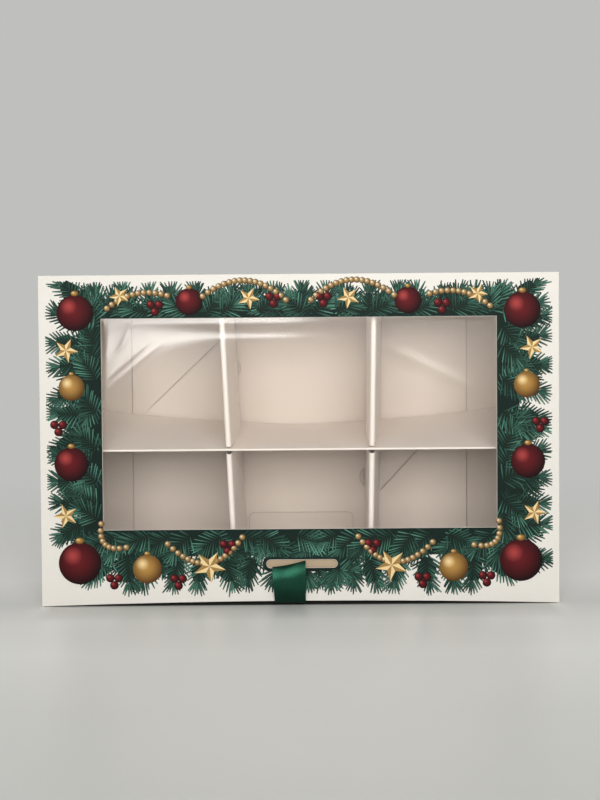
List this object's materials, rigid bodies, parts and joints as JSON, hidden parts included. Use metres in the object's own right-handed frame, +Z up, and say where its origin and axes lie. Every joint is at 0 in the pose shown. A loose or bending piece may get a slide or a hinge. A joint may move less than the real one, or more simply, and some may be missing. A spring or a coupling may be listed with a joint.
{
  "type": "sweet box",
  "caption": "Flat folding sweet box of white board with a window lid, a tuck flap, a pull ribbon and a slotted insert that parts it into cells.",
  "frame": {"origin": "middle of the footprint, on the surface that the box stands on, on its long front wall", "axes": "+X along the box, +Y from the lid's face to the base, +Z up from the front wall to the hinge wall"},
  "size_m": [0.25, 0.0703, 0.16],
  "materials": {
    "carton_board": "white coated board, printed on the lid's face",
    "insert_board": "uncoated pale board, folded double",
    "clear_film": "clear glossy film",
    "satin_ribbon": "dark green satin"
  },
  "bodies": {
    "carton": {"hinge_wall": "carton_board", "front_wall": "carton_board", "left_wall": "carton_board", "right_wall": "carton_board", "seam_tab": "carton_board", "base_upper_flap": "carton_board", "base_lower_flap": "carton_board", "base_left_flap": "carton_board", "base_right_flap": "carton_board", "base_left_glue_tab": "carton_board", "base_right_glue_tab": "carton_board", "long_divider": "insert_board", "cross_divider_left": "insert_board", "cross_divider_right": "insert_board"},
    "lid": {"lid_panel": "carton_board", "window_film": "clear_film", "pull_ribbon": "satin_ribbon"},
    "tuck": {"tuck_flap": "carton_board", "ribbon_tail": "satin_ribbon"},
    "left_flap": {"dust_flap_left": "carton_board"},
    "right_flap": {"dust_flap_right": "carton_board"}
  },
  "joints": [
    {"name": "lid_crease", "type": "hinge", "parent": "carton", "child": "lid", "pos_m": [0, -0.03475, 0.15975], "axis": [-1, 0, 0], "range_deg": [0, 180]},
    {"name": "tuck_crease", "type": "hinge", "parent": "lid", "child": "tuck", "pos_m": [0, -0.03415, 0.00225], "axis": [-1, 0, 0], "range_deg": [0, 36]},
    {"name": "left_flap_crease", "type": "hinge", "parent": "carton", "child": "left_flap", "pos_m": [-0.12475, -0.03385, 0.08], "axis": [0, 0, -1], "range_deg": [0, 90]},
    {"name": "right_flap_crease", "type": "hinge", "parent": "carton", "child": "right_flap", "pos_m": [0.12475, -0.03385, 0.08], "axis": [0, 0, 1], "range_deg": [0, 90]}
  ],
  "couplings": [
    {"joint": "tuck_crease", "follows": "lid_crease", "ratio": 0.2},
    {"joint": "left_flap_crease", "follows": "lid_crease", "ratio": 0.5},
    {"joint": "right_flap_crease", "follows": "lid_crease", "ratio": 0.5}
  ]
}
